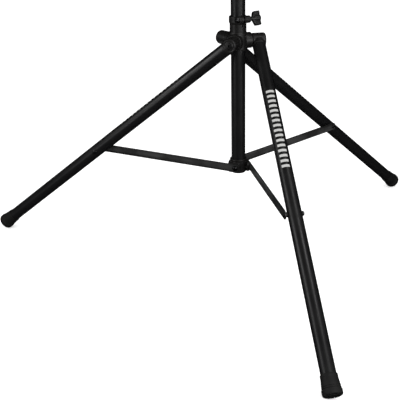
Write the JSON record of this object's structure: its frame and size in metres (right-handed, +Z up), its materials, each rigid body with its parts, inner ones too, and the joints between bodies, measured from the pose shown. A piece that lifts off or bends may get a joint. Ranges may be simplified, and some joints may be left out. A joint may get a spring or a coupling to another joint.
{
  "type": "tripod speaker stand",
  "caption": "Folding tripod stand for a loudspeaker: a column with a sliding collar, hinged tube legs braced by flat struts, and a telescoping pole held by a clamp.",
  "frame": {"origin": "centre of the column's bottom face, on the column's axis; the rubber feet reach the floor 0.251 m below it", "axes": "+Z up along the column and the pole; the front leg points towards -Y, the right leg towards +X and +Y, the left leg towards -X and +Y"},
  "size_m": [1.3207, 1.1963, 1.4346],
  "materials": {
    "tube": "black powder coat, semi-gloss",
    "casting": "black paint over cast metal, satin",
    "bar": "black paint over flat steel, semi-gloss",
    "plastic": "black moulded nylon",
    "knob": "black moulded plastic with a fine texture",
    "rubber": "black moulded rubber",
    "bolt": "black oxide"
  },
  "bodies": {
    "column": {"outer_tube": "tube", "base_hub": "casting", "hub_end_cap": "plastic", "hub_bolt_front": "bolt", "hub_bolt_right": "bolt", "hub_bolt_left": "bolt", "top_clamp": "casting", "top_clamp_nut": "bolt", "pole_bush": "plastic"},
    "collar": {"collar_housing": "casting", "collar_bush": "plastic", "collar_clamp_nut": "bolt", "hinge_bolt_front": "bolt", "hinge_bolt_right": "bolt", "hinge_bolt_left": "bolt", "hinge_washer_front": "plastic", "hinge_washer_right": "plastic", "hinge_washer_left": "plastic"},
    "leg_front": {"leg_tube_front": "tube", "leg_knuckle_front": "casting", "foot_front": "rubber", "leg_pivot_nut_front": "bolt"},
    "leg_right": {"leg_tube_right": "tube", "leg_knuckle_right": "casting", "foot_right": "rubber", "leg_pivot_nut_right": "bolt"},
    "leg_left": {"leg_tube_left": "tube", "leg_knuckle_left": "casting", "foot_left": "rubber", "leg_pivot_nut_left": "bolt"},
    "strut_front": {"strut_front": "bar", "strut_bolt_front": "bolt", "strut_spacer_front": "plastic"},
    "strut_right": {"strut_right": "bar", "strut_bolt_right": "bolt", "strut_spacer_right": "plastic"},
    "strut_left": {"strut_left": "bar", "strut_bolt_left": "bolt", "strut_spacer_left": "plastic"},
    "collar_knob": {"collar_clamp_knob": "knob", "collar_clamp_screw": "bolt"},
    "top_knob": {"top_clamp_knob": "knob", "top_clamp_screw": "bolt"},
    "pole": {"pole_tube": "tube", "pole_cap": "plastic", "pole_guide": "plastic"},
    "pin": {"locking_pin": "bolt", "pin_grip": "knob"}
  },
  "joints": [
    {"name": "collar_slide", "type": "slide", "parent": "column", "child": "collar", "axis": [0, 0, 1], "range_m": [0, 0.58318]},
    {"name": "leg_fold_front", "type": "hinge", "parent": "collar", "child": "leg_front", "pos_m": [0, 0, 0.36245], "axis": [1, 0, 0], "range_deg": [0, 49.8]},
    {"name": "leg_fold_right", "type": "hinge", "parent": "collar", "child": "leg_right", "pos_m": [0, 0, 0.36245], "axis": [-0.5, 0.866, 0], "range_deg": [0, 49.8]},
    {"name": "leg_fold_left", "type": "hinge", "parent": "collar", "child": "leg_left", "pos_m": [0, 0, 0.36245], "axis": [-0.5, -0.866, 0], "range_deg": [0, 49.8]},
    {"name": "strut_fold_front", "type": "hinge", "parent": "column", "child": "strut_front", "pos_m": [0, 0, 0.0183], "axis": [-1, 0, 0], "range_deg": [0, 85.47]},
    {"name": "strut_fold_right", "type": "hinge", "parent": "column", "child": "strut_right", "pos_m": [0, 0, 0.0183], "axis": [0.5, -0.866, 0], "range_deg": [0, 85.47]},
    {"name": "strut_fold_left", "type": "hinge", "parent": "column", "child": "strut_left", "pos_m": [0, 0, 0.0183], "axis": [0.5, 0.866, 0], "range_deg": [0, 85.47]},
    {"name": "collar_knob_turn", "type": "hinge", "parent": "collar", "child": "collar_knob", "pos_m": [0.00832, -0.02458, 0.421], "axis": [-0.9472, -0.3206, 0], "range_deg": [0, 720]},
    {"name": "pole_slide", "type": "slide", "parent": "column", "child": "pole", "axis": [0, 0, 1], "range_m": [0, 0.889]},
    {"name": "top_knob_turn", "type": "hinge", "parent": "column", "child": "top_knob", "pos_m": [0.00832, -0.02458, 1.065], "axis": [-0.9472, -0.3206, 0], "range_deg": [0, 720]},
    {"name": "pin_pull", "type": "slide", "parent": "pole", "child": "pin", "axis": [0.9472, 0.3206, 0], "range_m": [0, 0.045]}
  ],
  "couplings": [
    {"joint": "leg_fold_front", "follows": "collar_slide", "rad_per_m": 1.4904},
    {"joint": "leg_fold_right", "follows": "collar_slide", "rad_per_m": 1.4904},
    {"joint": "leg_fold_left", "follows": "collar_slide", "rad_per_m": 1.4904},
    {"joint": "strut_fold_front", "follows": "collar_slide", "rad_per_m": 2.558},
    {"joint": "strut_fold_right", "follows": "collar_slide", "rad_per_m": 2.558},
    {"joint": "strut_fold_left", "follows": "collar_slide", "rad_per_m": 2.558}
  ]
}
